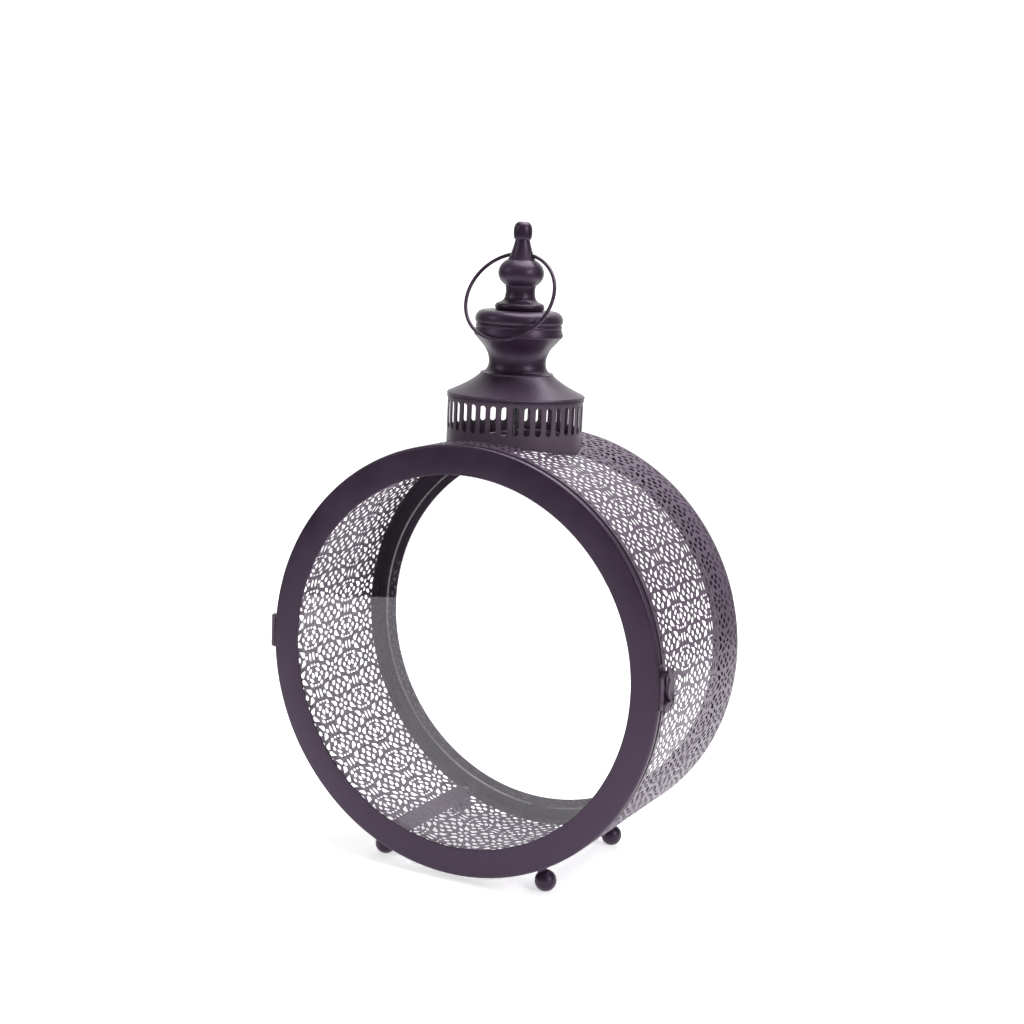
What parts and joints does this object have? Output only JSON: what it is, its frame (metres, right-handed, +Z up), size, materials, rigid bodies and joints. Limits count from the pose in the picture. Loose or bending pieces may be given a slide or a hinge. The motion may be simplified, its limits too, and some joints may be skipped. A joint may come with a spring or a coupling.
{
  "type": "round lantern",
  "caption": "Round metal lantern: pierced drum on ball feet, hinged glazed door with a hook latch, rear pane, slotted chimney, turned finial and a swinging carry ring.",
  "frame": {"origin": "middle of the lantern's footprint, on the floor under the ball feet", "axes": "+Z up, the drum's axis lies along Y, the door faces -Y, the hinge is on the -X side and the latch on the +X side"},
  "size_m": [0.3737, 0.171, 0.5438],
  "materials": {
    "sheet_paint": "satin",
    "dark_paint": "satin",
    "clear_glass": "polished",
    "plain_steel": "satin"
  },
  "bodies": {
    "lantern_body": {"drum_band": "sheet_paint", "front_hoop": "dark_paint", "rear_ring": "dark_paint", "rear_glass": "clear_glass", "rear_glass_clip": "plain_steel", "foot_rail_left": "dark_paint", "foot_rail_right": "dark_paint", "foot_front_left": "dark_paint", "foot_front_right": "dark_paint", "foot_rear_left": "dark_paint", "foot_rear_right": "dark_paint", "foot_screws": "plain_steel", "chimney_band": "dark_paint", "chimney_roof": "dark_paint", "vase_body": "dark_paint", "vase_cap": "dark_paint", "finial_base": "dark_paint", "finial_top": "dark_paint", "tie_rod": "plain_steel", "bridge_bar": "plain_steel", "tie_nut": "plain_steel", "hinge_leaf_body": "dark_paint", "hinge_pin": "plain_steel", "hinge_rivets_body": "dark_paint", "latch_bracket": "dark_paint", "latch_rivets": "dark_paint", "latch_pivot": "plain_steel"},
    "door": {"door_ring": "dark_paint", "door_glass": "clear_glass", "door_glass_clip": "plain_steel", "hinge_leaf_door": "dark_paint", "hinge_rivets_door": "dark_paint", "latch_keeper": "dark_paint"},
    "latch": {"latch_hook": "dark_paint"},
    "carry_ring": {"carry_ring": "dark_paint"}
  },
  "joints": [
    {"name": "door_hinge", "type": "hinge", "parent": "lantern_body", "child": "door", "pos_m": [-0.1842, -0.078, 0.18589], "axis": [0, 0, -1], "range_deg": [0, 150]},
    {"name": "latch_swing", "type": "hinge", "parent": "lantern_body", "child": "latch", "pos_m": [0.1834, -0.0672, 0.18389], "axis": [-1, 0, 0], "range_deg": [0, 80]},
    {"name": "carry_ring_swing", "type": "hinge", "parent": "lantern_body", "child": "carry_ring", "pos_m": [0, 0, 0.51709], "axis": [-1, 0, 0], "range_deg": [0, 302]}
  ]
}
